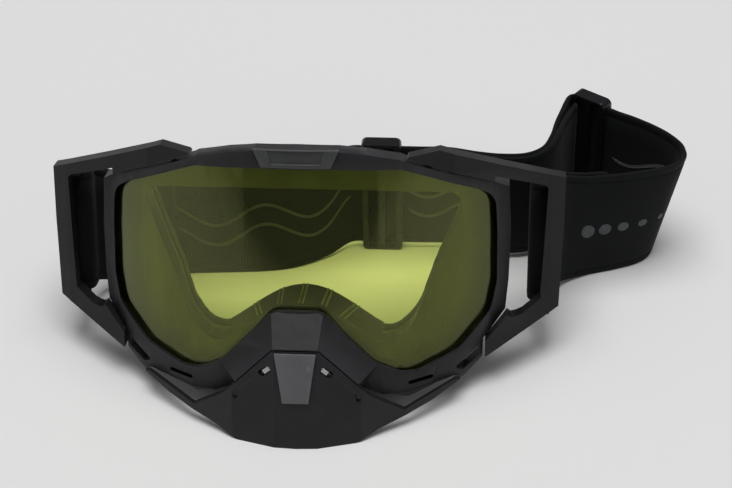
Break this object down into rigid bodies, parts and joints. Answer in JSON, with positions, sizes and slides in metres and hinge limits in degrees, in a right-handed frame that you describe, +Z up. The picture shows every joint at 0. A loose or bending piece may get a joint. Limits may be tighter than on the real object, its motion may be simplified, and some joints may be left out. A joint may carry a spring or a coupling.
{
  "type": "motocross goggles",
  "caption": "Motocross goggles with a tinted wrap lens, faceted frame, swinging outriggers, pull-off nose guard, layered face foam and an elastic strap with slide buckles.",
  "frame": {"origin": "middle of the nose guard's resting edge, on the floor", "axes": "+X to the viewer's right, +Y away from the viewer (the lens faces -Y), +Z up; the goggles lean back 19 degrees as they stand on the floor"},
  "size_m": [0.244, 0.165, 0.1033],
  "materials": {
    "shell": "fine matte",
    "lens": "polished",
    "plate": "satin",
    "inner": "satin",
    "foam": "open-cell foam",
    "foam_red": "open-cell foam",
    "fleece": "brushed fleece",
    "strap": "woven elastic",
    "buckle": "semi-gloss",
    "pin": "brushed"
  },
  "bodies": {
    "goggle_body": {"outer_frame": "shell", "lens": "lens", "brow_badge": "plate", "face_frame": "inner", "port_wall": "inner", "foam_base": "foam", "foam_red": "foam_red", "foam_skin": "fleece", "strap_left": "strap", "strap_tail_left": "strap", "strap_rear": "strap", "strap_right": "strap", "strap_tail_right": "strap"},
    "nose_guard_body": {"nose_guard": "shell", "guard_plate": "plate", "guard_posts": "shell", "guard_clips": "pin"},
    "outrigger_left_body": {"outrigger_left": "shell", "pivot_pin_top_left": "pin", "pivot_pin_low_left": "pin", "strap_fold_left": "strap"},
    "outrigger_right_body": {"outrigger_right": "shell", "pivot_pin_top_right": "pin", "pivot_pin_low_right": "pin", "strap_fold_right": "strap"},
    "buckle_left_body": {"buckle_left": "buckle"},
    "buckle_right_body": {"buckle_right": "buckle"}
  },
  "joints": [
    {"name": "nose_guard_pull", "type": "slide", "parent": "goggle_body", "child": "nose_guard_body", "axis": [0, -0.9455, 0.3256], "range_m": [0, 0.02]},
    {"name": "outrigger_left_swing", "type": "hinge", "parent": "goggle_body", "child": "outrigger_left_body", "pos_m": [-0.0465, 0.05603, 0.08931], "axis": [0.3098, 0.1259, 0.9424], "range_deg": [0, 9]},
    {"name": "outrigger_right_swing", "type": "hinge", "parent": "goggle_body", "child": "outrigger_right_body", "pos_m": [0.0465, 0.05603, 0.08931], "axis": [0.3098, -0.1259, -0.9424], "range_deg": [0, 9]},
    {"name": "buckle_left_slide", "type": "slide", "parent": "goggle_body", "child": "buckle_left_body", "axis": [1, 0, 0], "range_m": [-0.004, 0.018]},
    {"name": "buckle_right_slide", "type": "slide", "parent": "goggle_body", "child": "buckle_right_body", "axis": [0.818, -0.5751, 0], "range_m": [0, 0.005]}
  ]
}
